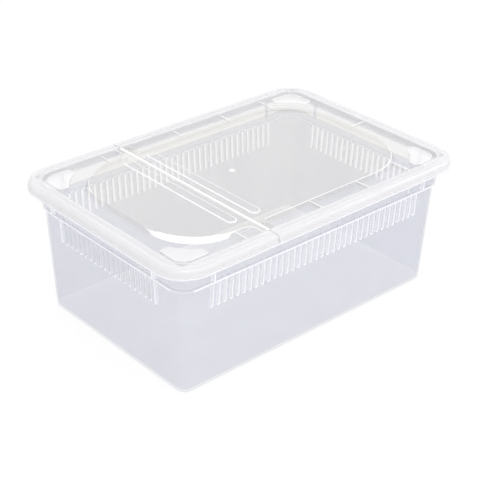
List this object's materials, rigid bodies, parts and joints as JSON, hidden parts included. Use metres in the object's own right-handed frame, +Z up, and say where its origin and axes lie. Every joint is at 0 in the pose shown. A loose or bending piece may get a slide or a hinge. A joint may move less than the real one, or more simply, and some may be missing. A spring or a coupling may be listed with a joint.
{
  "type": "terrarium",
  "caption": "Clear ventilated keeping box: drafted tub with slotted walls, press-on lid with a gutter round its raised middle, and a feeding flap on a film hinge.",
  "frame": {"origin": "middle of the base, at the level the tub stands on", "axes": "+X along the length, away from the feeding flap; +Y across the width; +Z up"},
  "size_m": [0.3102, 0.2102, 0.121],
  "materials": {
    "tub_plastic": "clear, glossy, slightly cloudy",
    "lid_plastic": "clear, glossy, slightly cloudy"
  },
  "bodies": {
    "tub": {"tub": "tub_plastic"},
    "lid": {"main_lid": "lid_plastic"},
    "flap": {"feeding_flap": "lid_plastic"}
  },
  "joints": [
    {"name": "lid_lift", "type": "slide", "parent": "tub", "child": "lid", "axis": [0, 0, 1], "range_m": [0, 0.13]},
    {"name": "flap_hinge", "type": "hinge", "parent": "lid", "child": "flap", "pos_m": [-0.0575, 0, 0.12], "axis": [0, 1, 0], "range_deg": [0, 160]}
  ]
}
